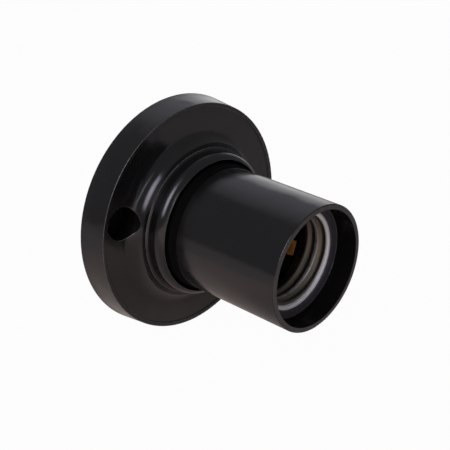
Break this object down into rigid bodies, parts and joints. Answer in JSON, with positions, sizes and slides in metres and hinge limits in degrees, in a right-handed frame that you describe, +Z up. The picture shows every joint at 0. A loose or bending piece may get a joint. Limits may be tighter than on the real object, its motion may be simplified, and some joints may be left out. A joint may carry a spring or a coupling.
{
  "type": "lamp holder",
  "caption": "Surface-mounted screw lamp holder with a dished round flange, screwed collar, skirted shell and rolled thread sleeve.",
  "frame": {"origin": "centre of the flange's back face, on the turning axis", "axes": "-Y out of the wall along the turning axis to the lamp, +Z up, +X to the right of someone who faces the holder"},
  "size_m": [0.072, 0.0559, 0.072],
  "materials": {
    "black_phenolic": "polished black phenolic moulding",
    "insert_phenolic": "dull black phenolic moulding",
    "plated_sleeve": "bright rolled sheet",
    "brass": "stamped sheet",
    "zinc_steel": "bright zinc plating"
  },
  "bodies": {
    "holder_base": {"base": "black_phenolic", "contact_insert": "insert_phenolic", "side_contact": "brass", "centre_contact": "brass", "side_terminal_screw": "zinc_steel", "side_spring_washer": "zinc_steel", "side_wire_clamp": "brass", "side_terminal_nut": "brass", "side_contact_rivet": "brass", "centre_terminal_screw": "zinc_steel", "centre_spring_washer": "zinc_steel", "centre_wire_clamp": "brass", "centre_terminal_nut": "brass", "centre_contact_rivet": "brass", "upper_insert_screw": "zinc_steel", "upper_insert_washer": "zinc_steel", "upper_insert_nut": "zinc_steel", "lower_insert_screw": "zinc_steel", "lower_insert_washer": "zinc_steel", "lower_insert_nut": "zinc_steel"},
    "sleeve": {"thread_sleeve": "plated_sleeve"},
    "shell": {"shell": "black_phenolic"}
  },
  "joints": [
    {"name": "shell_travel", "type": "slide", "parent": "holder_base", "child": "sleeve", "axis": [0, -1, 0], "range_m": [0, 0.006]},
    {"name": "shell_turn", "type": "hinge", "parent": "sleeve", "child": "shell", "pos_m": [0, -0.03, 0], "axis": [0, -1, 0], "range_deg": [0, 1080]}
  ],
  "couplings": [
    {"joint": "shell_travel", "follows": "shell_turn", "m_per_rad": 0.00031831}
  ]
}
